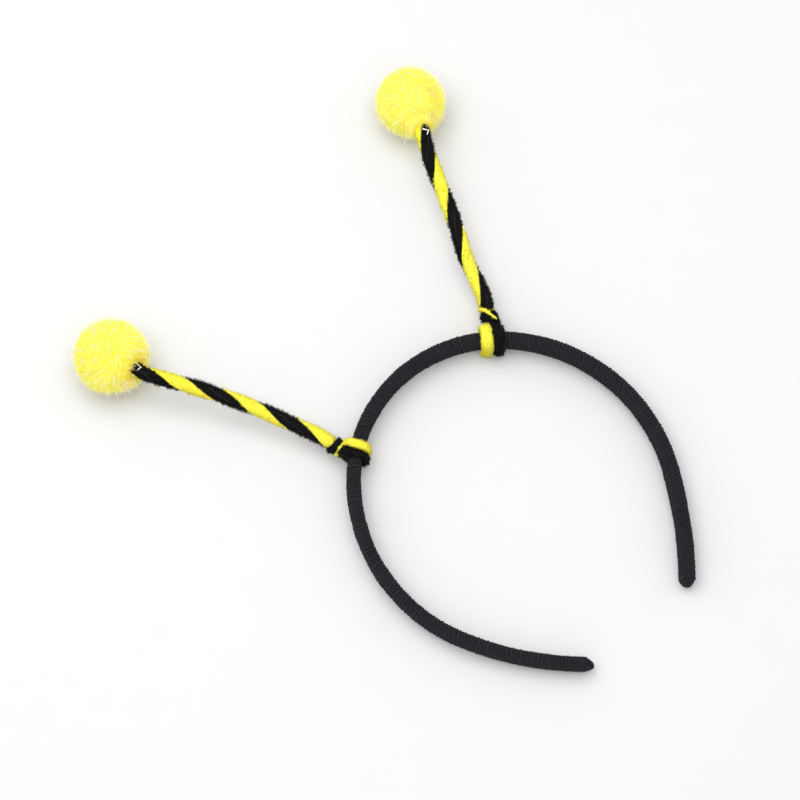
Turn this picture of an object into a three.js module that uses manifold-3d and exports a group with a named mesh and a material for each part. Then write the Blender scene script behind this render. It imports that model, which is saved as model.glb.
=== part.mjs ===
// Bee antenna headband, in millimetres, +Z up.
//
// An arched hair band in a black sleeve carries two antennas. Each antenna is a black and a yellow
// chenille stem: both are wrapped once round the band, side by side, and then twisted together like a
// rope, whose end sits in a yellow pompom. The thing lies on its side, as it is put down: the two ends of
// the band, the wraps and both pompoms touch the surface at Z = 0. +Y points from the open ends to the
// crown and the pompoms, +X to the right half as seen from above.

import * as THREE from 'three';
import { mergeVertices } from 'three/addons/utils/BufferGeometryUtils.js';
import Module from 'manifold-3d';

const wasm = await Module();
wasm.setup();

// Gap that is kept between two pieces that touch, and the least share of it left where one is cut back.
const clearance = 0.3;
const nearShare = 0.8;

// Band: each half of its centre line has three arcs, from the crown's middle to the end, with their turns
// in degrees. It is bent by hand, so the two ends differ a little.
const crownRadius = 58.3;
const crownTurn = 47.3;
const halves = {
  left: { sideRadius: 69.3, sideTurn: 68.6, endRadius: 124, endTurn: 23.4, endThickness: 4.6 },
  right: { sideRadius: 69.6, sideTurn: 71.0, endRadius: 180, endTurn: 15.5, endThickness: 6.0 },
};
const bandDepth = 9.5;
const bandEdgeRadius = 1.6;
const bandTipLength = 4.5;
const bandBluntness = 0.3;

// Chenille: a strand pressed flat round the band, and the rope that two strands make.
const wrapThickness = 2.6;
const ropeDiameter = 5.9;
const ropeLobe = 0.05;

// Collar: the turn of black chenille that ties the foot of each rope.
const neckDiameter = 4.3;
const collarThickness = 2.1;
const collarBite = 0.5;

// Pompoms: how deep the rope sits in them, how flat they lie, and their tufts.
const stemSeat = 8.0;
const footFlat = 0.5;
const tuftCount = 70;
const tuftWidth = 7.6;
const tuftHeight = 3.0;
const tuftRoot = 0.55;
const tuftUneven = 0.06;
const coreShare = 0.8;
const partingWidth = 24;
const partingDepth = 2.2;

// The two antennas. The pompom's centre lies aside and ahead of the crown's middle. Lengths in the route
// are shares of the free stem, from the foot to the pompom's mouth: aside is towards the band's end, rise
// is up. Turns are those of the black strand from its place on top. Angles are in degrees.
const antennas = [
  {
    name: 'left',
    hand: -1,
    knotAt: 37.4,
    yellowWrap: 3.8,
    blackWrap: 3.0,
    wrapSlant: 0.4,
    pompom: { aside: 81.1, ahead: 81.9, diameter: 30.2 },
    mouth: { aside: 11, up: 14 },
    route: [
      { along: 0.10, aside: -0.021, rise: 0.004 },
      { along: 0.25, aside: -0.030, rise: 0.007 },
      { along: 0.42, aside: -0.036, rise: 0.009 },
      { along: 0.60, aside: -0.033, rise: 0.009 },
      { along: 0.78, aside: -0.021, rise: 0.006 },
      { along: 0.92, aside: -0.006, rise: 0.002 },
    ],
    twist: [
      { along: 0.00, turns: -0.25 },
      { along: 0.07, turns: -0.57 },
      { along: 0.281, turns: 0.0 },
      { along: 0.644, turns: 1.0 },
      { along: 1.00, turns: 2.0 },
    ],
    collar: { at: 3.4, width: 3.6, slope: 0.25 },
    crossing: { at: 1.0, from: 80, to: 300, width: 1.7, slope: 0.1 },
    tail: { out: 0.5, up: 0.62, aside: 1.0, diameter: 4.6, length: 1.6, tipped: 35 },
  },
  {
    name: 'right',
    hand: 1,
    knotAt: 40.2,
    yellowWrap: 5.2,
    blackWrap: 4.2,
    wrapSlant: 0.3,
    pompom: { aside: 80.8, ahead: 83.4, diameter: 28.2 },
    mouth: { aside: -1, up: 16 },
    route: [
      { along: 0.07, aside: 0.004, rise: 0.003 },
      { along: 0.15, aside: 0.010, rise: 0.005 },
      { along: 0.25, aside: 0.000, rise: 0.007 },
      { along: 0.35, aside: -0.008, rise: 0.008 },
      { along: 0.50, aside: -0.001, rise: 0.009 },
      { along: 0.65, aside: -0.004, rise: 0.008 },
      { along: 0.85, aside: -0.008, rise: 0.004 },
    ],
    twist: [
      { along: 0.00, turns: 0.25 },
      { along: 0.08, turns: 0.0 },
      { along: 0.52, turns: 1.0 },
      { along: 0.88, turns: 2.0 },
      { along: 1.00, turns: 2.3 },
    ],
    collar: { at: 3.2, width: 4.4, slope: 0.5 },
    crossing: { at: 6.4, from: -110, to: 70, width: 1.5, slope: 0.5 },
    tail: { out: 0.5, up: 0.1, aside: 2.6, diameter: 3.0, length: 1.8, tipped: 70 },
  },
];

// Fineness of the faceted surfaces.
const edgeSegments = 1;
const bandStep = 6.3;
const tipSteps = 4;
const ropeStep = 22;
const wrapSegments = 20;
const wrapSides = 8;
const strandSides = 6;
const curveDivisions = 500;
const tailRings = 3;
const tuftSides = 5;
const coreDetail = 2;
const socketSteps = 10;
const socketSides = 12;

const degrees = THREE.MathUtils.degToRad;
const lerp = THREE.MathUtils.lerp;

// A closed three.js geometry as a solid for joining and cutting.
function solidOf(geometry) {
  const bare = geometry.clone();
  bare.deleteAttribute('normal');
  bare.deleteAttribute('uv');
  const merged = mergeVertices(bare, 1e-4);
  const points = merged.attributes.position;
  const corners = merged.index.array;
  const [a, b, c] = [new THREE.Vector3(), new THREE.Vector3(), new THREE.Vector3()];
  const kept = [];
  let volume = 0;
  for (let i = 0; i < corners.length; i += 3) {
    const [i0, i1, i2] = [corners[i], corners[i + 1], corners[i + 2]];
    if (i0 === i1 || i1 === i2 || i2 === i0) continue;
    a.fromBufferAttribute(points, i0);
    b.fromBufferAttribute(points, i1);
    c.fromBufferAttribute(points, i2);
    volume += a.dot(b.cross(c));
    kept.push(i0, i1, i2);
  }
  if (volume < 0) kept.reverse();
  return new wasm.Manifold(new wasm.Mesh({
    numProp: 3,
    vertProperties: new Float32Array(points.array),
    triVerts: new Uint32Array(kept),
  }));
}

function meshOf(name, solid, material) {
  const result = solid.getMesh();
  const geometry = new THREE.BufferGeometry();
  geometry.setAttribute('position', new THREE.BufferAttribute(new Float32Array(result.vertProperties), 3));
  geometry.setIndex(new THREE.BufferAttribute(new Uint32Array(result.triVerts), 1));
  geometry.computeVertexNormals();
  const mesh = new THREE.Mesh(geometry, material);
  mesh.name = name;
  return mesh;
}

// Moves every vertex of a geometry to the place that a function gives for it.
function moved(geometry, place) {
  const points = geometry.attributes.position;
  for (let i = 0; i < points.count; i += 1) {
    const p = place(points.getX(i), points.getY(i), points.getZ(i));
    points.setXYZ(i, p.x, p.y, p.z);
  }
  return geometry;
}

// A section drawn in X and Y, extruded in equal steps along Z and then bent to its place.
function bent(section, steps, place) {
  const geometry = new THREE.ExtrudeGeometry(section, {
    depth: steps, steps, bevelEnabled: false, curveSegments: edgeSegments,
  });
  return solidOf(moved(geometry, place));
}

// A ring bent to its place: turn runs once round, out and aside lie in its section, -1 to 1.
function ring(place) {
  const drawn = 2;
  const geometry = new THREE.TorusGeometry(drawn, 1, wrapSides, wrapSegments);
  return solidOf(moved(geometry, (x, y, z) => {
    const turn = (Math.atan2(y, x) / (2 * Math.PI) + 1) % 1;
    return place(turn, Math.hypot(x, y) - drawn, z);
  }));
}

function roundedRectangle(width, height, radius) {
  const [w, h] = [width / 2, height / 2];
  const r = Math.min(radius, w - clearance, h - clearance);
  const shape = new THREE.Shape();
  shape.moveTo(-w + r, -h);
  shape.lineTo(w - r, -h);
  shape.absarc(w - r, -h + r, r, -Math.PI / 2, 0);
  shape.lineTo(w, h - r);
  shape.absarc(w - r, h - r, r, 0, Math.PI / 2);
  shape.lineTo(-w + r, h);
  shape.absarc(-w + r, h - r, r, Math.PI / 2, Math.PI);
  shape.lineTo(-w, -h + r);
  shape.absarc(-w + r, -h + r, r, Math.PI, Math.PI * 1.5);
  return shape;
}

// An oval of straight sides drawn around its outline, so that it holds the whole of it.
function oval(width, height, sides) {
  const spread = 1 / Math.cos(Math.PI / sides);
  const points = [];
  for (let i = 0; i < sides; i += 1) {
    const angle = 2 * Math.PI * i / sides;
    points.push(new THREE.Vector2(Math.cos(angle) * width, Math.sin(angle) * height)
      .multiplyScalar(spread / 2));
  }
  return new THREE.Shape(points);
}

// Value of a column of a table at a place along it: straight between the rows and on past both ends.
function readTable(rows, column, along) {
  let i = 1;
  while (i < rows.length - 1 && along > rows[i].along) i += 1;
  const [from, to] = [rows[i - 1], rows[i]];
  return lerp(from[column], to[column], (along - from.along) / (to.along - from.along));
}

// Arcs of the band's two halves and their lengths.
function arcsOf(half) {
  return [
    { radius: crownRadius, turn: degrees(crownTurn) },
    { radius: half.sideRadius, turn: degrees(half.sideTurn) },
    { radius: half.endRadius, turn: degrees(half.endTurn) },
  ];
}
const arcs = { left: arcsOf(halves.left), right: arcsOf(halves.right) };
const lengthOf = (half) => half.reduce((sum, arc) => sum + arc.radius * arc.turn, 0);
const leftLength = lengthOf(arcs.left);
const rightLength = lengthOf(arcs.right);

// Place on the centre line at a distance from the crown's middle, positive on the right half.
function archAt(distance) {
  const side = distance < 0 ? -1 : 1;
  let rest = Math.abs(distance);
  let [x, y, heading] = [0, 0, 0];
  for (const arc of side < 0 ? arcs.left : arcs.right) {
    const turn = Math.min(rest, arc.radius * arc.turn) / arc.radius;
    x += arc.radius * (Math.sin(heading + turn) - Math.sin(heading));
    y += arc.radius * (Math.cos(heading + turn) - Math.cos(heading));
    heading += turn;
    rest -= turn * arc.radius;
  }
  return {
    x: side * x,
    y,
    towardsEnd: new THREE.Vector3(side * Math.cos(heading), -Math.sin(heading), 0),
    outward: new THREE.Vector3(side * Math.sin(heading), Math.cos(heading), 0),
  };
}

function bandThicknessAt(distance) {
  const share = (distance + leftLength) / (leftLength + rightLength);
  return lerp(halves.left.endThickness, halves.right.endThickness, share);
}

// The wraps stand below the band, so it leans down from them to its two ends.
const bandEnd = archAt(rightLength);
const wrapStand = clearance + wrapThickness;
const knotMiddle = antennas.reduce((sum, antenna) => sum + archAt(antenna.knotAt).y, 0) / antennas.length;
const lean = Math.atan2(wrapStand, knotMiddle - bandEnd.y);
const lie = new THREE.Matrix4().makeTranslation(0, bandEnd.y, 0)
  .multiply(new THREE.Matrix4().makeRotationX(lean))
  .multiply(new THREE.Matrix4().makeTranslation(0, -bandEnd.y, 0));

// Distances of the band's sections: close together where the ends round off, even between them.
function bandSections() {
  const even = Math.ceil((leftLength + rightLength - 2 * bandTipLength) / bandStep);
  const [from, to] = [bandTipLength - leftLength, rightLength - bandTipLength];
  const rounding = [];
  for (let i = 0; i < tipSteps; i += 1) {
    rounding.push(bandTipLength * Math.cos(Math.PI / 2 * i / tipSteps));
  }
  const distances = rounding.map((beyond) => from - beyond);
  for (let i = 0; i <= even; i += 1) distances.push(lerp(from, to, i / even));
  return [...distances, ...rounding.reverse().map((beyond) => to + beyond)];
}

// The band's solid, or the space that it needs when grown is above 0.
function bandSolid(grown) {
  const distances = bandSections();
  const meanThickness = (halves.left.endThickness + halves.right.endThickness) / 2;
  const section = roundedRectangle(meanThickness, bandDepth, bandEdgeRadius);
  return bent(section, distances.length - 1, (x, y, z) => {
    const distance = distances[Math.round(z)];
    const at = archAt(distance);
    const toEnd = Math.min(1, Math.min(distance + leftLength, rightLength - distance) / bandTipLength);
    const size = lerp(bandBluntness, 1, Math.sqrt(1 - (1 - toEnd) ** 2));
    const across = x * size * (bandThicknessAt(distance) + 2 * grown) / meanThickness;
    const up = y * size * (bandDepth + 2 * grown) / bandDepth;
    return new THREE.Vector3(at.x, at.y, bandDepth / 2 + up)
      .addScaledVector(at.outward, across)
      .applyMatrix4(lie);
  });
}

// Frame of a knot: its middle in the band, and the ways towards the band's end, outward and up.
function knotFrame(antenna) {
  const distance = antenna.hand * antenna.knotAt;
  const at = archAt(distance);
  return {
    middle: new THREE.Vector3(at.x, at.y, bandDepth / 2).applyMatrix4(lie),
    aside: at.towardsEnd.clone().transformDirection(lie),
    out: at.outward.clone().transformDirection(lie),
    up: new THREE.Vector3(0, 0, 1).transformDirection(lie),
    thickness: bandThicknessAt(distance),
  };
}

function inKnot(knot, aside, out, up) {
  return knot.middle.clone()
    .addScaledVector(knot.aside, aside)
    .addScaledVector(knot.out, out)
    .addScaledVector(knot.up, up);
}

// One turn of a strand round the band: the black one towards the band's end, the yellow one beside it.
function wrap(antenna, knot, colour, grown) {
  const width = colour === 'black' ? antenna.blackWrap : antenna.yellowWrap;
  const beside = (width + clearance) / 2 * (colour === 'black' ? 1 : -1);
  const stand = clearance + wrapThickness / 2;
  const loop = roundedRectangle(
    knot.thickness + 2 * stand, bandDepth + 2 * stand, bandEdgeRadius + stand);
  return ring((turn, out, side) => {
    const on = loop.getPointAt(turn);
    const way = loop.getTangentAt(turn);
    const thick = out * (wrapThickness / 2 + grown);
    const wide = side * (width / 2 + grown);
    const slant = antenna.wrapSlant * on.x / knot.thickness;
    return inKnot(knot, beside + wide - slant, on.x + way.y * thick, on.y - way.x * thick);
  });
}

// Centre and size of a pompom; its foot is pressed flat a little where it rests.
function pompomOf(antenna) {
  const radius = antenna.pompom.diameter / 2;
  return {
    radius,
    centre: new THREE.Vector3(antenna.hand * antenna.pompom.aside, antenna.pompom.ahead, radius - footFlat),
  };
}

// Centre line of the rope, from the wraps to its seat in the pompom, with its own ways aside and up.
function ropeOf(antenna) {
  const knot = knotFrame(antenna);
  const pompom = pompomOf(antenna);
  const start = inKnot(knot, 0, knot.thickness / 2 + clearance + wrapThickness / 2, 0);
  const foot = inKnot(knot, 0, knot.thickness / 2 + wrapStand, 0);
  const back = foot.clone().sub(pompom.centre).setZ(0).normalize();
  const entry = back.clone().applyAxisAngle(
    new THREE.Vector3(0, 0, 1), antenna.hand * degrees(antenna.mouth.aside));
  entry.multiplyScalar(Math.cos(degrees(antenna.mouth.up)));
  entry.z = Math.sin(degrees(antenna.mouth.up));
  const mouth = pompom.centre.clone().addScaledVector(entry, pompom.radius);
  const seat = pompom.centre.clone().addScaledVector(entry, pompom.radius - stemSeat);
  const free = mouth.clone().sub(foot);
  const length = free.length();
  const aside = new THREE.Vector3(antenna.hand * free.y, -antenna.hand * free.x, 0).normalize();
  const points = antenna.route.map((row) => foot.clone()
    .addScaledVector(free, row.along)
    .addScaledVector(aside, row.aside * length)
    .add(new THREE.Vector3(0, 0, row.rise * length)));
  const curve = new THREE.CatmullRomCurve3([start, foot, ...points, mouth, seat]);
  curve.arcLengthDivisions = curveDivisions;
  const whole = curve.getLength();
  return { knot, pompom, entry, curve, whole, free: whole - stemSeat - wrapThickness / 2 };
}

// Frame of the rope at a distance from its foot, up to the seat.
function ropeFrame(rope, distance) {
  const share = THREE.MathUtils.clamp((distance + wrapThickness / 2) / rope.whole, 0, 1);
  const tangent = rope.curve.getTangentAt(share);
  const up = new THREE.Vector3(0, 0, 1).addScaledVector(tangent, -tangent.z).normalize();
  return { centre: rope.curve.getPointAt(share), tangent, up, right: tangent.clone().cross(up) };
}

function onRope(frame, angle, reach, along) {
  return frame.centre.clone()
    .addScaledVector(frame.up, Math.cos(angle) * reach)
    .addScaledVector(frame.right, Math.sin(angle) * reach)
    .addScaledVector(frame.tangent, along);
}

// The rope is thinner where the collar ties it.
function ropeSize(antenna, distance) {
  const { at, width } = antenna.collar;
  const off = THREE.MathUtils.clamp((Math.abs(distance - at) - width / 4) / (width / 2), 0, 1);
  return lerp(neckDiameter, ropeDiameter, THREE.MathUtils.smoothstep(off, 0, 1)) / ropeDiameter;
}

// Distances of the rope's sections, so that the twist turns by about the same angle at each step.
function ropeSections(antenna, rope) {
  const most = degrees(ropeStep);
  const end = rope.free + stemSeat;
  const distances = [-wrapThickness / 2];
  let [turned, before] = [0, null];
  for (let i = 0; i <= curveDivisions; i += 1) {
    const distance = lerp(-wrapThickness / 2, end, i / curveDivisions);
    const angle = readTable(antenna.twist, 'turns', distance / rope.free) * Math.PI * 2;
    if (before !== null) turned += Math.abs(angle - before);
    before = angle;
    if (turned >= most || i === curveDivisions) {
      distances.push(distance);
      turned = 0;
    }
  }
  return distances;
}

// Half of the rope: the black one, or the yellow one opposite, drawn as its mirror image so that the flat
// sides that face each other have the same facets.
function strand(antenna, rope, colour, grown) {
  const radius = ropeDiameter / 2;
  const points = [];
  const flat = clearance / 2 - grown;
  for (let i = 0; i <= strandSides; i += 1) {
    const angle = lerp(-Math.PI / 2, Math.PI / 2, i / strandSides);
    const reach = radius * (1 + ropeLobe * Math.cos(2 * angle)) + grown;
    points.push(new THREE.Vector2(Math.max(0, Math.cos(angle)) * (reach - flat), Math.sin(angle) * reach));
  }
  const distances = ropeSections(antenna, rope);
  return bent(new THREE.Shape(points), distances.length - 1, (x, y, z) => {
    const distance = distances[Math.round(z)];
    const frame = ropeFrame(rope, distance);
    const size = ropeSize(antenna, distance);
    const twist = readTable(antenna.twist, 'turns', distance / rope.free) * 2 * Math.PI;
    const [deep, wide] = [x * size + flat, y * size];
    const angle = twist + (colour === 'black' ? 0 : Math.PI)
      + Math.atan2(colour === 'black' ? wide : -wide, deep);
    return onRope(frame, angle, Math.hypot(wide, deep), 0);
  });
}

// The turn of black chenille that ties the rope's foot; it leans across the rope.
function collar(antenna, rope) {
  const { at, width, slope } = antenna.collar;
  const middle = neckDiameter / 2 - collarBite + collarThickness / 2;
  const frame = ropeFrame(rope, at);
  return ring((turn, out, side) => {
    const angle = turn * 2 * Math.PI;
    const leaning = -slope * middle * Math.sin(angle);
    return onRope(frame, angle, middle + out * collarThickness / 2, side * width / 2 + leaning);
  });
}

// The short stretch of yellow chenille that crosses the rope next to the collar.
function crossing(antenna, rope, grown) {
  const { at, from, to, width, slope } = antenna.crossing;
  const steps = Math.ceil(Math.abs(to - from) / ropeStep);
  const thickness = wrapThickness / 2;
  const middle = ropeDiameter / 2 * ropeSize(antenna, at);
  const frame = ropeFrame(rope, at);
  return bent(oval(thickness + 2 * grown, width + 2 * grown, wrapSides), steps, (x, y, z) => {
    const angle = degrees(lerp(from, to, z / steps));
    const leaning = -slope * middle * Math.sin(angle);
    return onRope(frame, angle, middle + x, y + leaning);
  });
}

// The cut end of the black stem, tucked in at the knot.
function tail(antenna, knot) {
  const { out, up, aside, diameter, length, tipped } = antenna.tail;
  const geometry = new THREE.CapsuleGeometry(diameter / 2, length, tailRings, wrapSides);
  geometry.rotateZ(degrees(tipped));
  const outTo = knot.thickness / 2 + clearance + out * wrapThickness;
  return solidOf(moved(geometry, (x, y, z) => inKnot(
    knot, aside + x, outTo + y, up * bandDepth / 2 + z)));
}

// The yellow stem first; the black one then gives way to it, and both give way to the band.
function stems(antenna) {
  const rope = ropeOf(antenna);
  const yellowWith = (grown) => strand(antenna, rope, 'yellow', grown)
    .add(wrap(antenna, rope.knot, 'yellow', grown))
    .add(crossing(antenna, rope, grown));
  const keepOff = bandSolid(clearance * nearShare);
  const yellow = yellowWith(0).subtract(keepOff);
  const black = strand(antenna, rope, 'black', 0)
    .add(wrap(antenna, rope.knot, 'black', 0))
    .add(collar(antenna, rope))
    .add(tail(antenna, rope.knot))
    .subtract(yellowWith(clearance * nearShare))
    .subtract(keepOff);
  return { rope, yellow, black };
}

// A tuft of fibres: wide at its root in the core, pointed at its tip.
function tuft(centre, way, length) {
  const root = length * tuftRoot;
  const half = tuftWidth / 2 * (length - root) / tuftHeight;
  const profile = [[0, root], [half, root], [0, length]].map(([r, y]) => new THREE.Vector2(r, y));
  const geometry = new THREE.LatheGeometry(profile, tuftSides);
  geometry.applyQuaternion(new THREE.Quaternion().setFromUnitVectors(new THREE.Vector3(0, 1, 0), way));
  geometry.translate(centre.x, centre.y, centre.z);
  return solidOf(geometry);
}

// The pompom: a core with tufts all over it, parted and hollowed where the rope goes in. The tufts under
// it keep their full length, as it rests on them.
function pompomSolid(rope) {
  const { centre, radius } = rope.pompom;
  const core = new THREE.IcosahedronGeometry(radius * coreShare, coreDetail)
    .translate(centre.x, centre.y, centre.z);
  const golden = Math.PI * (3 - Math.sqrt(5));
  const tufts = [];
  for (let i = 0; i < tuftCount; i += 1) {
    const z = 1 - 2 * (i + 0.5) / tuftCount;
    const around = Math.sqrt(1 - z * z);
    const way = new THREE.Vector3(around * Math.cos(i * golden), around * Math.sin(i * golden), z);
    const rests = -way.z * radius > radius - 2 * footFlat;
    const shorter = rests ? 0 : tuftUneven * Math.abs(Math.sin(i * i));
    const parted = way.angleTo(rope.entry) < degrees(partingWidth) ? partingDepth : 0;
    tufts.push(tuft(centre, way, radius * (1 - shorter) - parted));
  }
  const wide = 4 * radius;
  const surface = new THREE.BoxGeometry(wide, wide, wide).translate(centre.x, centre.y, -wide / 2);
  return wasm.Manifold.union([solidOf(core), ...tufts])
    .subtract(socket(rope))
    .subtract(solidOf(surface));
}

// The space of the rope in the pompom, with its clearance.
function socket(rope) {
  const across = ropeDiameter * (1 + ropeLobe) + 2 * clearance;
  const from = rope.free - rope.pompom.radius / 2;
  const to = rope.free + stemSeat;
  return bent(oval(across, across, socketSides), socketSteps, (x, y, z) => {
    const frame = ropeFrame(rope, lerp(from, to, z / socketSteps));
    return onRope(frame, Math.atan2(y, x), Math.hypot(x, y), z === socketSteps ? clearance : 0);
  });
}

function finish(colour, roughness) {
  return new THREE.MeshStandardMaterial({ color: colour, roughness, metalness: 0 });
}

const object = new THREE.Group();
object.name = 'bee_antenna_headband';
object.add(meshOf('headband', bandSolid(0), finish(0x232125, 0.95)));
for (const antenna of antennas) {
  const { rope, yellow, black } = stems(antenna);
  object.add(meshOf(`${antenna.name}_black_stem`, black, finish(0x1c1b1e, 1.0)));
  object.add(meshOf(`${antenna.name}_yellow_stem`, yellow, finish(0xf7ee2c, 0.9)));
  object.add(meshOf(`${antenna.name}_pompom`, pompomSolid(rope), finish(0xfbf44a, 0.7)));
}

// The origin goes to the bottom centre of the whole.
const bounds = new THREE.Box3().setFromObject(object);
const centre = bounds.getCenter(new THREE.Vector3());
object.position.set(-centre.x, -centre.y, -bounds.min.z);

export default object;
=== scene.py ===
"""Bee antenna headband, lying on a pale surface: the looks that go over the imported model, in metres.

The order is that of the object: the place and its light, the hair band in its ribbed sleeve, the black
and the yellow chenille stems, and the tinsel pompoms.
"""
from math import cos, pi, radians, sin

import bmesh
import bpy
import numpy as np
from mathutils import Matrix, Vector
from mathutils.bvhtree import BVHTree
from mathutils.kdtree import KDTree


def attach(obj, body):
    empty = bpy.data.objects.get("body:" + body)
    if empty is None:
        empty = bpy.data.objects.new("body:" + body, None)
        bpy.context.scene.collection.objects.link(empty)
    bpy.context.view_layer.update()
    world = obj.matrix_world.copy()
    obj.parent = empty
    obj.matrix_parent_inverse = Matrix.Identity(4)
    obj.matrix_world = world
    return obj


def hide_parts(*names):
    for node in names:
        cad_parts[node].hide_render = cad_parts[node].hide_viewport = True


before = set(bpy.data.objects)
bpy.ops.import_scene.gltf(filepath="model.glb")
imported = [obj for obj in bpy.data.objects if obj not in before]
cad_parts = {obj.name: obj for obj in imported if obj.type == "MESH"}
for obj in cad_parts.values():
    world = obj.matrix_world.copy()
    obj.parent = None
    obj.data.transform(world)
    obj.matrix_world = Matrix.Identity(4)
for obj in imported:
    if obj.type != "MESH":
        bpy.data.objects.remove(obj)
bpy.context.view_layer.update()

# The place: the headband lies on its side on a white table under a soft light tent. The camera stands
# over it, leaning back from straight above, and looks at a point inside the crown.
crown = Vector((0.000243, 0.021080, 0.000074))
picture_turn = 0.739
camera_lean = radians(18)
camera_distance = 1.1
aim_left, aim_down = 0.000675, 0.007603
table_half = 6
picture_up = Vector((sin(picture_turn), cos(picture_turn), 0))
picture_right = Vector((cos(picture_turn), -sin(picture_turn), 0))
aim = Vector((crown.x, crown.y, 0)) - picture_right * aim_left - picture_up * aim_down

lens = bpy.data.cameras.new("camera")
lens.sensor_width = 36
lens.lens = 123.75
lens.clip_start = 0.05
lens.clip_end = 20
camera = bpy.data.objects.new("camera", lens)
bpy.context.scene.collection.objects.link(camera)
camera_back = (Vector((0, 0, 1)) * cos(camera_lean) - picture_up * sin(camera_lean)).normalized()
camera_up = camera_back.cross(picture_right)
camera.matrix_world = (Matrix.Translation(aim + camera_back * camera_distance)
                       @ Matrix((picture_right, camera_up, camera_back)).transposed().to_4x4())
bpy.context.scene.camera = camera


def softbox(name, towards, reach, height, size, power):
    """A square lamp that stands towards one side of the picture and shines at the headband."""
    lamp = bpy.data.lights.new(name, "AREA")
    lamp.size = size
    lamp.energy = power
    lamp.color = (1.0, 0.995, 0.985)
    stand = bpy.data.objects.new(name, lamp)
    bpy.context.scene.collection.objects.link(stand)
    stand.location = aim + towards * reach + Vector((0, 0, height))
    stand.rotation_euler = (aim - stand.location).to_track_quat("-Z", "Y").to_euler()


softbox("left_softbox", -picture_right + picture_up * 0.45, 0.90, 0.75, 1.0, 1.5)
softbox("right_softbox", picture_right + picture_up * 0.60, 0.90, 0.75, 1.0, 0.6)
softbox("overhead_softbox", picture_up * 0.4 - picture_right, 0.10, 0.85, 0.8, 5.5)

tent = bpy.data.worlds.new("light_tent")
tent.use_nodes = True
tent.node_tree.nodes["Background"].inputs["Color"].default_value = (0.985, 0.985, 1.0, 1)
tent.node_tree.nodes["Background"].inputs["Strength"].default_value = 0.80
bpy.context.scene.world = tent
bpy.context.scene.view_settings.view_transform = "Standard"


def finish(name, roughness):
    """A new material with its shader and a way to add nodes and to join them."""
    material = bpy.data.materials.new(name)
    material.use_nodes = True
    tree = material.node_tree
    shader = tree.nodes["Principled BSDF"]
    shader.inputs["Roughness"].default_value = roughness

    def node(kind, joins=None, **settings):
        new = tree.nodes.new(kind)
        for key, value in settings.items():
            if hasattr(new, key):
                setattr(new, key, value)
            else:
                new.inputs[key.replace("_", " ")].default_value = value
        for socket, source in (joins or {}).items():
            tree.links.new(source, new.inputs[socket])
        return new

    def join(source, socket):
        tree.links.new(source, socket)

    return material, shader, node, join


def colour_stops(ramp, *stops):
    """Sets the first two stops of a colour ramp and adds the others, each a place and a colour."""
    for i, (at, colour) in enumerate(stops):
        stop = ramp.color_ramp.elements[i] if i < 2 else ramp.color_ramp.elements.new(at)
        stop.position = at
        stop.color = (*colour, 1)


table_finish, shader, node, join = finish("white_table", 0.6)
grain = node("ShaderNodeTexNoise", Scale=900.0, Detail=2.0)
ramp = node("ShaderNodeValToRGB", {"Fac": grain.outputs["Fac"]})
colour_stops(ramp, (0, (0.690, 0.689, 0.697)), (1, (0.706, 0.705, 0.713)))
join(ramp.outputs["Color"], shader.inputs["Base Color"])
shader.inputs["Specular IOR Level"].default_value = 0.1

table_mesh = bpy.data.meshes.new("table")
table_mesh.from_pydata([(-table_half, -table_half, 0), (table_half, -table_half, 0),
                        (table_half, table_half, 0), (-table_half, table_half, 0)], [], [(0, 1, 2, 3)])
table_mesh.materials.append(table_finish)
table = bpy.data.objects.new("table", table_mesh)
bpy.context.scene.collection.objects.link(table)


# The hair band: a springy core in a tight sleeve of thick black elastic knit, whose ribs run round it and
# lean a little. The sleeve is drawn over the core, gathered at both ends and stitched to a blunt point.
crown_arc = (0.0583, radians(47.3))
left_arcs = (crown_arc, (0.0693, radians(68.6)), (0.124, radians(23.4)))
right_arcs = (crown_arc, (0.0696, radians(71.0)), (0.180, radians(15.5)))
left_length = sum(radius * turn for radius, turn in left_arcs)
right_length = sum(radius * turn for radius, turn in right_arcs)
left_end_thickness = 0.0050
right_end_thickness = 0.0061
band_depth = 0.0095
band_lean = 0.023057
corner_roundness = 0.62
left_tip_length = 0.0035
right_tip_length = 0.0029
left_tip_skew = 0.0011
tip_bluntness = 0.20
tip_roundness = 0.60
rib_pitch = 0.00118
rib_height = 0.00034
rib_slant = -0.50
unslanted_end, slant_fade = 0.003, 0.007
stitch_waves = 13
stitch_relief = 0.25
bulge_height = 0.00004
yarn_thickness = 0.00008
steps_a_rib = 6
points_round = 32
stitches_round = 26
table_top = 0.00002


def band_line(distance):
    """Places and headings of the band's middle line, at distances from the crown's middle."""
    x, y, heading = (np.zeros(len(distance)) for _ in range(3))
    for arcs, side in ((left_arcs, -1), (right_arcs, 1)):
        here = distance * side >= 0
        left = np.abs(distance[here])
        hx, hy, turned = (np.zeros(here.sum()) for _ in range(3))
        for radius, turn in arcs:
            part = np.minimum(left, radius * turn) / radius
            hx += radius * (np.sin(turned + part) - np.sin(turned))
            hy += radius * (np.cos(turned + part) - np.cos(turned))
            turned += part
            left = left - part * radius
        x[here], y[here], heading[here] = side * hx, hy, side * turned
    return x, y, heading


def closed_tube(rows, columns, outward=1):
    """Faces over rows of points that close round, with a flat end at the first row and at the last."""
    row, column = np.meshgrid(np.arange(rows - 1), np.arange(columns), indexing="ij")
    beside = (column + 1) % columns
    quads = np.stack([row * columns + column, row * columns + beside,
                      (row + 1) * columns + beside, (row + 1) * columns + column], -1)
    faces = quads.reshape(-1, 4)[:, ::outward].tolist()
    faces.append(list(range(columns))[::-outward])
    faces.append([(rows - 1) * columns + i for i in range(columns)][::outward])
    return faces


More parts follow.
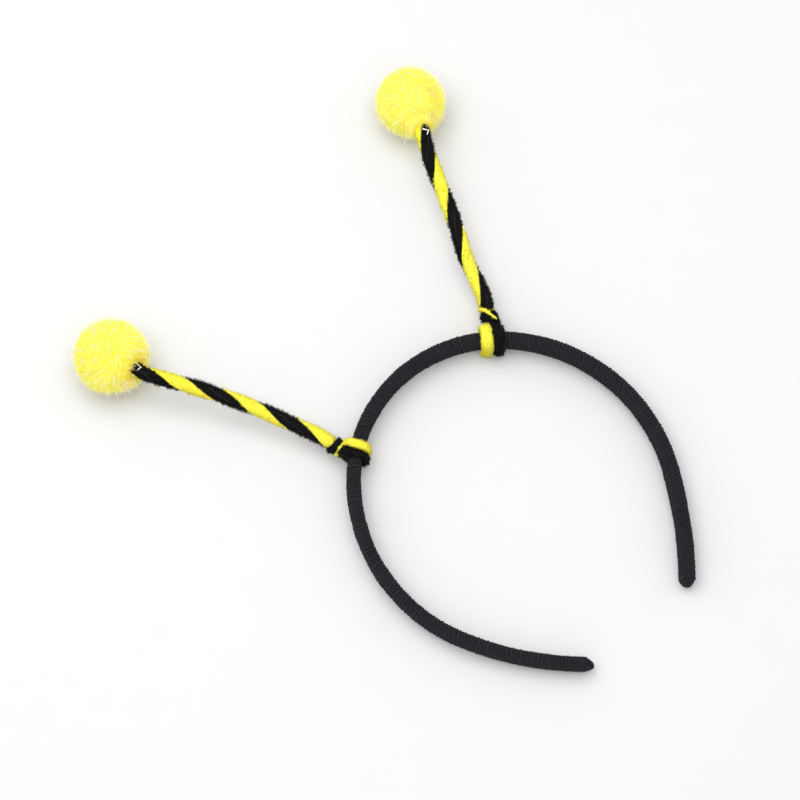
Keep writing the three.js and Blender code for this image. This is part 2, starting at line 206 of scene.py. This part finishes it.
def add_piece(name, points, faces, material, nodes):
    """Links a mesh of points and faces, none below the table, as a piece that stands for CAD nodes."""
    points[:, 2] = np.maximum(points[:, 2], table_top)
    mesh = bpy.data.meshes.new(name)
    mesh.from_pydata(points.tolist(), [], faces)
    mesh.update()
    mesh.materials.append(material)
    mesh.shade_smooth()
    piece = bpy.data.objects.new(name, mesh)
    bpy.context.scene.collection.objects.link(piece)
    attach(piece, "root")
    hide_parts(*nodes)
    return piece


def number_points(piece, name, values):
    """Gives each point of a piece a number, which the piece's material reads by its name."""
    numbers = piece.data.attributes.new(name, "FLOAT", "POINT")
    numbers.data.foreach_set("value", values.reshape(-1).astype(np.float32))


rows = int((left_length + right_length) / rib_pitch * steps_a_rib) + 1
distance = np.linspace(-left_length, right_length, rows)
end_distance = np.minimum(distance + left_length, right_length - distance)
share = (distance + left_length) / (left_length + right_length)
thickness = left_end_thickness + (right_end_thickness - left_end_thickness) * share
tip_share = end_distance / np.where(share < 0.5, left_tip_length, right_tip_length)
fullness = tip_bluntness + (1 - tip_bluntness) * np.clip(tip_share, 0, 1) ** tip_roundness

angle = np.arange(points_round) / points_round * 2 * pi - pi / 2
normal_x, normal_z = np.cos(angle), np.sin(angle)
corner_x = np.sign(normal_x) * np.abs(normal_x) ** corner_roundness
corner_z = np.sign(normal_z) * np.abs(normal_z) ** corner_roundness
across = np.outer(thickness / 2 * fullness, corner_x)
up = np.outer(band_depth / 2 * fullness, corner_z)
across += (left_tip_skew * (1 - fullness) * (share < 0.5))[:, None]

slant = (0.12 + 0.88 * share ** 3) * np.clip((end_distance - unslanted_end) / slant_fade, 0, 1)
along = distance[:, None] + rib_slant * across * slant[:, None]
rib_number = distance[:, None] / rib_pitch + 0.22 * np.sin(along * 610) + 0.16 * np.sin(along * 1510 + 1) \
    + 0.13 * np.sin(angle * 3 + along * 300)
rib_own = np.random.default_rng(5).uniform(0.55, 1.25, 900)[np.floor(rib_number).astype(int) % 900]
rib = (0.5 - 0.5 * np.cos(2 * pi * rib_number)) ** 0.8
stitch = np.sin(angle * stitch_waves + (np.floor(rib_number) % 2) * pi)
bulges = (np.sin(along * 190 + 3 * np.sin(angle)) + np.sin(along * 71 + 2 * np.cos(angle) + 1)) * bulge_height
tip_fade = np.clip(tip_share * 1.4 - 0.15, 0.15, 1)[:, None]
raised = (rib * rib_own - 0.40) * rib_height * tip_fade * (1 + stitch_relief * stitch) \
    + bulges * tip_fade + yarn_thickness
across = across + raised * normal_x
up = up + raised * normal_z
step = np.hypot(np.diff(across, axis=1, prepend=across[:, :1]), np.diff(up, axis=1, prepend=up[:, :1]))
round_share = np.cumsum(step, axis=1) / (step.sum(1) * (1 + 1 / points_round))[:, None]

line_x, line_y, heading = band_line(along.reshape(-1))
flat_x = line_x + np.sin(heading) * across.reshape(-1)
flat_y = line_y + np.cos(heading) * across.reshape(-1)
flat_z = band_depth / 2 + up.reshape(-1)
end_y = band_line(np.array([right_length]))[1][0]
points = np.stack([
    crown.x + flat_x,
    crown.y + end_y + (flat_y - end_y) * cos(band_lean) - flat_z * sin(band_lean),
    crown.z + (flat_y - end_y) * sin(band_lean) + flat_z * cos(band_lean)], 1)

sleeve_finish, shader, node, join = finish("ribbed_black_sleeve", 0.9)
# Painted shade: this attribute darkens the sleeve in the grooves between the ribs and lightens it on the crests
# and raised stitches.
depth = node("ShaderNodeAttribute", attribute_name="groove_shade")
yarn = node("ShaderNodeTexNoise", Scale=1400.0, Detail=3.0, Roughness=0.7)
wear = node("ShaderNodeTexNoise", Scale=60.0, Detail=2.0)
rib_at = node("ShaderNodeAttribute", attribute_name="rib_number")
round_at = node("ShaderNodeAttribute", attribute_name="stitch_number")
rib_row = node("ShaderNodeMath", {0: rib_at.outputs["Fac"]}, operation="FLOOR")
shifted = node("ShaderNodeMath", {0: rib_row.outputs[0], 2: round_at.outputs["Fac"]},
               operation="MULTIPLY_ADD")
shifted.inputs[1].default_value = 0.5
wound = node("ShaderNodeMath", {0: shifted.outputs[0]}, operation="MULTIPLY")
wound.inputs[1].default_value = 2 * pi
swell = node("ShaderNodeMath", {0: wound.outputs[0]}, operation="SINE")
loops = node("ShaderNodeTexVoronoi", Scale=950.0)
looped = node("ShaderNodeMath", {0: loops.outputs["Distance"], 1: yarn.outputs["Fac"]}, operation="SUBTRACT")
stitched = node("ShaderNodeMath", {0: swell.outputs[0], 2: looped.outputs[0]}, operation="MULTIPLY_ADD")
stitched.inputs[1].default_value = 0.28
yarn_shade = node("ShaderNodeMath", {0: stitched.outputs[0], 1: depth.outputs["Fac"], 2: depth.outputs["Fac"]},
                  operation="MULTIPLY_ADD")
ramp = node("ShaderNodeValToRGB", {"Fac": yarn_shade.outputs[0]})
colour_stops(ramp, (0.15, (0.0041, 0.0036, 0.0051)), (0.96, (0.0352, 0.0335, 0.0400)))
tint = node("ShaderNodeMix", data_type="RGBA", blend_type="MULTIPLY")
join(wear.outputs["Fac"], tint.inputs[0])
join(ramp.outputs["Color"], tint.inputs[6])
tint.inputs[7].default_value = (0.94, 0.80, 0.84, 1)
join(tint.outputs[2], shader.inputs["Base Color"])
shader.inputs["Specular IOR Level"].default_value = 0.14
bump = node("ShaderNodeBump", {"Height": stitched.outputs[0]}, Strength=0.8, Distance=0.00022)
join(bump.outputs["Normal"], shader.inputs["Normal"])

band = add_piece("ribbed_sleeve", points, closed_tube(rows, points_round),
                 sleeve_finish, ["headband"])
number_points(band, "rib_number", rib_number)
number_points(band, "stitch_number", round_share * stitches_round)
# Painted highlight: the section's rounded corners lighter, its flat sides a little darker.
corner_highlight = 0.92 + 0.3 * np.abs(np.sin(2 * angle)) ** 5
# Painted shade and light: low in the rib grooves, high on the rib crests and the raised stitches.
groove_shade = (0.34 + 0.62 * rib * rib_own) * (1 + stitch_relief * stitch) * corner_highlight
number_points(band, "groove_shade", np.clip(groove_shade, 0, 1.3))


# The black chenille stems: two thin wires twisted together hold a short thick pile of black nylon, which
# stands out all round them. Each is wrapped once round the sleeve, tied below as a collar, and then
# twisted with its yellow fellow. Here the pile's root is a felted body, and tufts of bristles stand on it.
bristles_a_stem = 20500
bristle_width = 0.00014
tuft_width = 0.0011
felt_grain = 0.00042
touching = 0.0009
free_room = 0.0016
black_pile_root, black_reach = 0.00020, 0.00118
glints_a_stem = 92
glint_length = 0.00030
glint_width = 0.00026
beyond_stem = 0.012

solids = {}
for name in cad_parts:
    solid_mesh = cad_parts[name].data
    solids[name] = BVHTree.FromPolygons([v.co for v in solid_mesh.vertices],
                                        [p.vertices for p in solid_mesh.polygons])


def read_points(mesh, what):
    """The places or the normals of a mesh's points, one in each row."""
    values = np.empty(len(mesh.vertices) * 3)
    mesh.vertices.foreach_get(what, values)
    return values.reshape(-1, 3)


def unit(vectors):
    """The same directions, one long."""
    return vectors / np.linalg.norm(vectors, axis=1)[:, None]


def felted(node_name, sink, neighbours, lumps):
    """A CAD node and lumps made one soft body, its facets smoothed away, and sunk where nothing touches it."""
    body = bpy.data.objects.new(node_name + "_body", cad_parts[node_name].data.copy())
    bpy.context.scene.collection.objects.link(body)
    for centre, radius in lumps:
        solid = bmesh.new()
        solid.from_mesh(body.data)
        bmesh.ops.create_icosphere(solid, subdivisions=3, radius=radius, matrix=Matrix.Translation(centre))
        solid.to_mesh(body.data)
        solid.free()
    skin = body.modifiers.new("skin", "REMESH")
    skin.mode = "VOXEL"
    skin.voxel_size = felt_grain
    soften = body.modifiers.new("soften", "SMOOTH")
    soften.factor = 0.6
    soften.iterations = 5
    bpy.context.view_layer.update()
    mesh = bpy.data.meshes.new_from_object(body.evaluated_get(bpy.context.evaluated_depsgraph_get()))
    bpy.data.objects.remove(body)
    places, normals = read_points(mesh, "co"), read_points(mesh, "normal")
    close = np.array([min([tree.find_nearest(at, touching)[3] or touching for tree in neighbours])
                      for at in places])
    places = places - normals * (sink * np.clip(close / touching, 0, 1))[:, None]
    mesh.vertices.foreach_set("co", places.reshape(-1))
    mesh.update()
    return mesh


def spread_over(mesh, count, random):
    """Random places on a mesh, even over its area, with the normals there."""
    mesh.calc_loop_triangles()
    corners = np.empty(len(mesh.loop_triangles) * 3, np.int32)
    mesh.loop_triangles.foreach_get("vertices", corners)
    corners = corners.reshape(-1, 3)
    a, b, c = read_points(mesh, "co")[corners].transpose(1, 0, 2)
    area = np.linalg.norm(np.cross(b - a, c - a), axis=1)
    pick = random.choice(len(area), count, p=area / area.sum())
    u, v = random.random(count), random.random(count)
    u, v = np.where(u + v > 1, 1 - u, u), np.where(u + v > 1, 1 - v, v)
    w = 1 - u - v
    na, nb, nc = read_points(mesh, "normal")[corners[pick]].transpose(1, 0, 2)
    place = a[pick] * w[:, None] + b[pick] * u[:, None] + c[pick] * v[:, None]
    return place, unit(na * w[:, None] + nb * u[:, None] + nc * v[:, None])


def triangle_round(places, ways, width):
    """The three corners of a thin fibre's section at each place."""
    helper = np.where(np.abs(ways[:, 2:3]) < 0.9, np.array([[0, 0, 1.0]]), np.array([[1.0, 0, 0]]))
    side = unit(np.cross(ways, helper))
    other = np.cross(ways, side)
    return [places + (side * cos(turn) + other * sin(turn)) * (width / 2)[:, None]
            for turn in (0, 2 * pi / 3, 4 * pi / 3)]


def bristles(roots, tips, width):
    """Straight closed spikes from root to tip, as points and faces."""
    points = np.stack(triangle_round(roots, unit(tips - roots), width) + [tips], 1).reshape(-1, 3)
    spike = np.array([[0, 1, 3], [1, 2, 3], [2, 0, 3], [2, 1, 0]])
    return points, (np.arange(len(roots))[:, None, None] * 4 + spike).reshape(-1, 3)


def chenille(name, node_name, material, neighbours, seed, pile_root, bristle_reach, lumps, wire=()):
    """A stem's felted body with its bristles, shorter where another piece is near and parted along a wire."""
    random = np.random.default_rng(seed)
    body = felted(node_name, pile_root, neighbours, lumps)
    area = sum(face.area for face in body.polygons)
    centres, centre_normals = spread_over(body, int(area / tuft_width ** 2 * 1.2), random)
    near = KDTree(len(centres))
    for i, at in enumerate(centres):
        near.insert(at, i)
    near.balance()
    tuft_reach = bristle_reach * random.uniform(0.20, 1.40, len(centres))
    place, normal = spread_over(body, bristles_a_stem, random)
    tuft = np.array([near.find(at)[1] for at in place])
    tuft_tip = (centres + centre_normals * tuft_reach[:, None])[tuft] + (place - centres[tuft]) * 0.20
    gathered = tuft_tip - place + random.normal(0, 0.00013, place.shape)
    reach = np.linalg.norm(gathered, axis=1) * random.uniform(0.72, 1.02, len(place))
    way = unit(unit(gathered) + normal * 0.25)
    room = np.array([min([hit[3] for hit in (tree.ray_cast(Vector(p), Vector(w), free_room)
                                             for tree in neighbours) if hit[3] is not None],
                         default=free_room) for p, w in zip(place, way)])
    reach = np.minimum(reach, np.maximum(room * 0.8, 0.00003))
    if len(wire):
        beside = np.array([np.linalg.norm(wire[:, 0] - at, axis=1).min() for at in place])
        reach *= np.clip(beside / touching, 0.35, 1)
    keep = reach > 0.00008
    place, normal, way, reach, tuft = place[keep], normal[keep], way[keep], reach[keep], tuft[keep]
    roots, tips = place - normal * 0.0001, place + way * reach[:, None]
    width = bristle_width * random.uniform(0.7, 1.3, len(place))
    if len(wire):
        roots = np.vstack([roots, wire[:, 0]])
        tips = np.vstack([tips, wire[:, 0] + wire[:, 1] * glint_length])
        width = np.append(width, np.full(len(wire), glint_width))
    spikes, faces = bristles(roots, tips, width)
    count = len(body.vertices)
    piece = add_piece(name, np.vstack([read_points(body, "co"), spikes]),
                      [list(face.vertices) for face in body.polygons] + (faces + count).tolist(),
                      material, [node_name])
    tuft_shade = random.random(len(centres))[tuft] * 0.9
    shade = np.append(np.where(random.random(len(place)) < 0.02, 1.0, tuft_shade), np.ones(len(wire)))
    number_points(piece, "strand", np.append(np.full(count, 0.25), np.repeat(shade, 4)))
    # Painted shade: 0 on the felted body, low at the bristles' roots, 1 at their tips and on the wire glints.
    number_points(piece, "out_of_shade", np.concatenate([
        np.zeros(count), np.tile([0.15, 0.15, 0.15, 1.0], len(place)), np.ones(4 * len(wire))]))
    bpy.data.meshes.remove(body)


def pile_finish(name, root_shade, shady, light, stray, fleck, gloss):
    """Pile: painted shade darkens its roots and the felted body, its tips are lighter, it is darker in flecks,
    and each tuft is a little different.
    """
    material, shader, node, join = finish(name, 0.75)
    strand = node("ShaderNodeAttribute", attribute_name="strand")
    out_of_shade = node("ShaderNodeAttribute", attribute_name="out_of_shade")
    patches = node("ShaderNodeTexNoise", Scale=700.0, Detail=2.0)
    own = node("ShaderNodeValToRGB", {"Fac": strand.outputs["Fac"]})
    colour_stops(own, (0, shady), (0.93, light), (0.97, stray))
    mixed = node("ShaderNodeMix", data_type="RGBA")
    join(out_of_shade.outputs["Fac"], mixed.inputs[0])
    mixed.inputs[6].default_value = (*root_shade, 1)
    join(own.outputs["Color"], mixed.inputs[7])
    flecked = node("ShaderNodeValToRGB", {"Fac": patches.outputs["Fac"]})
    colour_stops(flecked, (0.40, fleck), (0.54, (1, 1, 1)))
    uneven = node("ShaderNodeMix", data_type="RGBA", blend_type="MULTIPLY")
    uneven.inputs[0].default_value = 1.0
    join(mixed.outputs[2], uneven.inputs[6])
    join(flecked.outputs["Color"], uneven.inputs[7])
    join(uneven.outputs[2], shader.inputs["Base Color"])
    shader.inputs["Specular IOR Level"].default_value = gloss
    bump = node("ShaderNodeBump", {"Height": patches.outputs["Fac"]}, Strength=0.4, Distance=0.0002)
    join(bump.outputs["Normal"], shader.inputs["Normal"])
    return material


def bare_wire(hand, knot, ball):
    """Places along the middle of a black strand, from knot to pompom, where its twisted wire glints."""
    stems = solids[f"{hand}_black_stem"], solids[f"{hand}_yellow_stem"]

    def depths(place, out):
        """How far in each stem is met, on a straight way from outside the rope to a place in it."""
        return [tree.ray_cast(place + out * beyond_stem, -out, beyond_stem)[3] or 1.0 for tree in stems]

    along = (ball - knot).normalized()
    side = along.cross(Vector((0, 0, 1))).normalized()
    lift = side.cross(along)
    glints = []
    for share in np.linspace(0.10, 0.90, glints_a_stem):
        middle = knot.lerp(ball, share)
        for _ in range(3):
            outline, dark = [], []
            for turn in np.arange(0, 2 * pi, pi / 20):
                out = side * cos(turn) + lift * sin(turn)
                black, yellow = depths(middle, out)
                if min(black, yellow) < 1:
                    outline.append(out * (beyond_stem - min(black, yellow)))
                    dark.append(black < yellow)
            middle = middle + sum(outline, Vector()) / len(outline)
        ridge = sum((at for at, is_dark in zip(outline, dark) if is_dark), Vector())
        if ridge.normalized().dot(camera_back) < 0.45:
            continue
        core = middle + ridge.normalized() * max(at.length for at in outline) * 0.5
        black, yellow = depths(core, camera_back)
        if black < yellow:
            glints.append((core + camera_back * (beyond_stem + 0.0001 - black), along))
    return np.array(glints)


# The first colour is painted shade, on the felted body and at the bristles' roots.
black_pile = pile_finish("black_pile", (0.0020, 0.0017, 0.0021), (0.0052, 0.0046, 0.0054),
                         (0.0232, 0.0205, 0.0232), (0.25, 0.245, 0.255), (0.80, 0.78, 0.76), 0.16)
left_knot, right_knot = crown + Vector((-0.0349, -0.0116, 0.0085)), crown + Vector((0.0371, -0.0133, 0.0085))
left_ball, right_ball = crown + Vector((-0.0811, 0.0819, 0.0146)), crown + Vector((0.0808, 0.0834, 0.0136))
left_bulge = [(Vector((-0.03784, 0.01110, 0.0118)), 0.0026)]
right_bulge = [(Vector((0.0438, 0.0174, 0.0112)).lerp(Vector((0.0447, 0.0148, 0.0104)), i / 4), 0.0013)
               for i in range(5)]
right_bulge += [(Vector((0.0404, 0.0121, 0.0106)).lerp(Vector((0.0376, 0.0083, 0.0140)), i / 5), 0.0010)
                for i in range(6)]
for hand, seed, bulge, knot, ball in (("left", 11, left_bulge, left_knot, left_ball),
                                      ("right", 12, right_bulge, right_knot, right_ball)):
    chenille(f"{hand}_black_chenille", f"{hand}_black_stem", black_pile,
             [solids[f"{hand}_yellow_stem"], solids["headband"]], seed, black_pile_root, black_reach,
             bulge, bare_wire(hand, knot, ball))


# The yellow chenille stems: the same thing in bright yellow. Each is wrapped round the sleeve on the
# crown's side of the black one, and crosses it once at the collar.
yellow_pile_root, yellow_reach = 0.00002, 0.00080
turn_thickness = 0.0012
turn_lumps = 15
pompom_middle = 0.0145


def top_of(hand, x, y):
    """How high an antenna's stems reach at a place, or a pompom's middle where they don't."""
    hits = [solids[f"{hand}_{colour}_stem"].ray_cast(Vector((x, y, 0.05)), Vector((0, 0, -1)))[0]
            for colour in ("black", "yellow")]
    return max((hit.z for hit in hits if hit), default=pompom_middle)


def laid_turn(hand, start, over, end):
    """Lumps along a thin turn of the yellow stem that lies on the black one."""
    lumps = []
    for i in range(turn_lumps):
        t = i / (turn_lumps - 1)
        x, y = ((1 - t) ** 2 * a + 2 * t * (1 - t) * b + t ** 2 * c for a, b, c in zip(start, over, end))
        lumps.append((Vector((x, y, top_of(hand, x, y) + 0.0004)), turn_thickness / 2))
    return lumps


left_turn = laid_turn("left", (-0.0358, 0.0150), (-0.0384, 0.0141), (-0.0402, 0.0144))
right_turn = laid_turn("right", (0.0419, 0.0190), (0.0428, 0.0160), (0.0435, 0.0126))
# The first colour is painted shade, on the felted body and at the bristles' roots.
yellow_pile = pile_finish("yellow_pile", (1.0, 0.955, 0.08), (1.0, 0.975, 0.09),
                          (1.0, 0.99, 0.14), (0.30, 0.26, 0.07), (0.74, 0.65, 0.42), 0.25)
for hand, seed, turn in (("left", 21, left_turn), ("right", 22, right_turn)):
    chenille(f"{hand}_yellow_chenille", f"{hand}_yellow_stem", yellow_pile,
             [solids[f"{hand}_black_stem"], solids["headband"]], seed, yellow_pile_root, yellow_reach, turn)


# The pompoms: bundles of fine lemon yellow tinsel, tied in the middle, cut to a ball and brushed, so that
# the fibres lie over in swirls. A few clear ones reach beyond. The stem's end is pushed into each, and
# the fibres part round it.
core_share = 0.91
core_rings, core_columns = 64, 100
fibres_a_pompom = 16200
streaks_a_pompom = 410
clear_fibres = 150
fibre_width = 0.00013
parting_angle = 27
snippet_threads = 5
snippet_width = 0.00024

tinsel_finish, shader, node, join = finish("yellow_tinsel", 0.45)
strand = node("ShaderNodeAttribute", attribute_name="strand")
out_of_shade = node("ShaderNodeAttribute", attribute_name="out_of_shade")
own = node("ShaderNodeValToRGB", {"Fac": strand.outputs["Fac"]})
colour_stops(own, (0, (1.0, 0.985, 0.12)), (1, (1.0, 1.0, 0.34)))
mixed = node("ShaderNodeMix", data_type="RGBA")
join(out_of_shade.outputs["Fac"], mixed.inputs[0])
# Painted shade: orange deep in the ball, in the core's crevices and round the stem's entry.
mixed.inputs[6].default_value = (1.0, 0.83, 0.10, 1)
join(own.outputs["Color"], mixed.inputs[7])
patches = node("ShaderNodeTexNoise", Scale=330.0, Detail=3.0)
ramp = node("ShaderNodeValToRGB", {"Fac": patches.outputs["Fac"]})
colour_stops(ramp, (0.36, (1.0, 0.965, 0.42)), (0.62, (1.0, 1.0, 1.0)))
patched = node("ShaderNodeMix", data_type="RGBA", blend_type="MULTIPLY")
patched.inputs[0].default_value = 1.0
join(mixed.outputs[2], patched.inputs[6])
join(ramp.outputs["Color"], patched.inputs[7])
silver = node("ShaderNodeAttribute", attribute_name="silver")
pale = node("ShaderNodeValToRGB", {"Fac": silver.outputs["Fac"]})
colour_stops(pale, (0.3, (1.0, 1.0, 0.34)), (1, (0.82, 0.70, 0.71)),
             (0.7, (1.0, 1.0, 0.68)), (0.9, (1.0, 1.0, 1.0)))
is_pale = node("ShaderNodeMath", {0: silver.outputs["Fac"]}, operation="GREATER_THAN")
is_pale.inputs[1].default_value = 0.2
coloured = node("ShaderNodeMix", data_type="RGBA")
join(is_pale.outputs[0], coloured.inputs[0])
join(patched.outputs[2], coloured.inputs[6])
join(pale.outputs["Color"], coloured.inputs[7])
join(coloured.outputs[2], shader.inputs["Base Color"])
shader.inputs["Specular IOR Level"].default_value = 0.35
crinkle = node("ShaderNodeTexNoise", Scale=2600.0, Detail=2.0)
bump = node("ShaderNodeBump", {"Height": crinkle.outputs["Fac"]}, Strength=0.35, Distance=0.00010)
join(bump.outputs["Normal"], shader.inputs["Normal"])


def fibres(roots, middles, tips, width):
    """Closed fibres from root to tip that bend at the middle, as points and faces."""
    points = np.stack(triangle_round(roots, unit(middles - roots), width)
                      + triangle_round(middles, unit(tips - roots), width * 0.85) + [tips], 1)
    bent = np.array([[0, 1, 4], [0, 4, 3], [1, 2, 5], [1, 5, 4], [2, 0, 3], [2, 3, 5],
                     [3, 4, 6], [4, 5, 6], [5, 3, 6], [2, 1, 0]])
    return points.reshape(-1, 3), (np.arange(len(roots))[:, None, None] * 7 + bent).reshape(-1, 3)


def sphere_ways(count):
    """Evenly spread directions."""
    i = np.arange(count) + 0.5
    z = 1 - 2 * i / count
    around = i * pi * (3 - 5 ** 0.5)
    flat = np.sqrt(1 - z * z)
    return np.stack([flat * np.cos(around), flat * np.sin(around), z], 1)


def pompom(hand, centre, radius, opening, snippet, seed):
    """A ball of tinsel round a lumpy core, parted where the stem goes in, with painted orange shade in its
    depths and round the stem, and a silver snippet on the stem.
    """
    random = np.random.default_rng(seed)
    centre = np.array(centre)
    stem = np.array([v.co for colour in ("black", "yellow")
                     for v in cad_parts[f"{hand}_{colour}_stem"].data.vertices])
    off = np.linalg.norm(stem - centre, axis=1)
    entry = (stem[(off > radius * 0.8) & (off < radius * 1.2)] - centre).mean(0)
    entry /= np.linalg.norm(entry)
    waves, phases, pulls = random.normal(0, 2.2, (8, 3)), random.uniform(0, 6, 8), random.normal(0, 1, (8, 3))

    def from_stem(ways):
        return np.degrees(np.arccos(np.clip(ways @ entry, -1, 1)))

    def lumpy(ways):
        return 0.013 * np.sin(ways @ waves[:4].T * 1.2 + phases[:4]).sum(1)

    # The fibres: upright ones, ones brushed flat, pale streaks that lie on top, and clear long ones.
    total = fibres_a_pompom + streaks_a_pompom
    ways = unit(sphere_ways(total) + random.normal(0, 0.012, (total, 3)))
    streak = np.arange(total) % (total // streaks_a_pompom) == 7
    clear = (random.random(total) < clear_fibres / total) & ~streak
    upright = (random.random(total) < 0.62) & ~streak
    brushed = np.sin(ways @ waves.T + phases) @ pulls * 0.45 \
        + random.normal(0, 0.7, ways.shape) - (0, 0, 1.6)
    brushed -= (brushed * ways).sum(1)[:, None] * ways
    lie = radius * np.where(upright | clear, random.uniform(0.02, 0.12, total),
                            random.uniform(0.12, 0.22, total))
    lie = np.where(streak, radius * random.uniform(0.10, 0.46, total), lie)
    over = unit(brushed) * lie[:, None]
    parted = np.clip((parting_angle - from_stem(ways) + random.normal(0, 2.5, total)) / 12, 0, 1)
    ball = radius * (1.005 + lumpy(ways)) * (1 - opening * parted)
    start = np.where(streak, 0.95, core_share - 0.05) * ball
    height = np.where(upright, 0.93 + 0.18 * random.random(total) ** 1.6,
                      random.uniform(0.93, 0.98, total))
    height = np.where(streak, random.uniform(0.975, 1.04, total), height) * ball
    height = np.where(clear, radius * random.uniform(1.10, 1.38, total), height)
    roots = centre + ways * start[:, None]
    tips = centre + unit(ways * radius + over) * height[:, None]
    middles = centre + unit(ways * radius + over * 0.42) \
        * (np.maximum(height, start) + radius * np.where(streak, 0.028, 0.0))[:, None]
    middles = np.where((upright | clear)[:, None], (roots + tips) / 2, middles)
    tips[:, 2] = np.maximum(tips[:, 2], 0.0002)
    middles[:, 2] = np.maximum(middles[:, 2], 0.0004)
    stems = [solids[f"{hand}_black_stem"], solids[f"{hand}_yellow_stem"]]
    free = np.array([
        all(tree.ray_cast(Vector(p), Vector(q - p).normalized(), (Vector(q) - Vector(p)).length)[0] is None
            for tree in stems) for p, q in zip(roots, tips)])
    roots, middles, tips, clear, streak = (each[free] for each in (roots, middles, tips, clear, streak))
    width = fibre_width * random.uniform(0.6, 1.2, len(roots)) \
        * np.where(streak, 1.8, np.where(clear, 1.9, 1))
    shade = random.random(len(roots))
    paleness = np.where(streak, random.uniform(0.33, 0.82, len(roots)), np.where(clear, 1.0, 0.0))

    # The snippet: a few threads of silver tinsel caught on the stem, bent once.
    corners = []
    for x, y in snippet:
        x, y = centre[0] + x, centre[1] + y
        corners.append(np.array((x, y, top_of(hand, x, y) + 0.0006)))
    laid = np.array([(corners[0], corners[1]), (corners[1], corners[2])] * snippet_threads)
    laid = laid + random.normal(0, 0.00012, laid.shape)
    roots, tips = np.vstack([roots, laid[:, 0]]), np.vstack([tips, laid[:, 1]])
    middles = np.vstack([middles, laid.mean(1) + (0, 0, 0.0002)])
    width = np.append(width, np.full(len(laid), snippet_width))
    shade = np.append(shade, np.ones(len(laid)))
    paleness = np.repeat(np.append(paleness, np.full(len(laid), 0.9)), 7)
    long_tips = (paleness[6::7] == 0) & (np.linalg.norm(tips - centre, axis=1) > radius * 1.01)
    paleness[6::7][long_tips] = 0.62
    points, faces = fibres(roots, middles, tips, width)

    # The core: the inner ends of the fibres, which show as a lumpy ball between them.
    lat = (np.arange(core_rings) + 0.5) / core_rings * pi
    lon = np.arange(core_columns) / core_columns * 2 * pi
    core_ways = np.stack([np.outer(np.sin(lat), np.cos(lon)), np.outer(np.sin(lat), np.sin(lon)),
                          np.outer(np.cos(lat), np.ones(core_columns))], -1).reshape(-1, 3)
    bumps = np.abs(np.sin(core_ways @ (waves.T * 4) + phases)).mean(1) * 0.10 - 0.07 + lumpy(core_ways)
    dent = np.clip((parting_angle + 1 - from_stem(core_ways)) / 12, 0, 1) * (opening + 0.02)
    core = centre + core_ways * (radius * core_share * (1 + bumps - dent))[:, None]
    core[:, 2] = np.maximum(core[:, 2], 0.0003)
    core_faces = closed_tube(core_rings, core_columns, -1)

    count = len(core)
    every = np.vstack([core, points])
    piece = add_piece(f"{hand}_tinsel_pompom", every, core_faces + (faces + count).tolist(),
                      tinsel_finish, [f"{hand}_pompom"])
    piece.data.polygons.foreach_set("use_smooth", [True] * len(core_faces) + [False] * len(faces))
    number_points(piece, "strand", np.append(np.full(count, 0.4), np.repeat(shade, 7)))
    number_points(piece, "silver", np.append(np.zeros(count), paleness))
    # Painted shade: lower deeper in the ball and where the fibres part round the stem.
    out_of_shade = np.clip((np.linalg.norm(every - centre, axis=1) / radius - 0.84) / 0.08, 0.55, 1)
    out_of_shade *= 1 - 0.70 * np.clip((40 - from_stem(unit(every - centre))) / 24, 0, 1)
    number_points(piece, "out_of_shade", out_of_shade)


pompom("left", left_ball, 0.0151, 0.05,
       ((0.0041, -0.0095), (0.0046, -0.0136), (0.0024, -0.0136)), 31)
pompom("right", right_ball, 0.0143, -0.16,
       ((-0.0065, -0.0145), (-0.0048, -0.0161), (-0.0069, -0.0176)), 32)
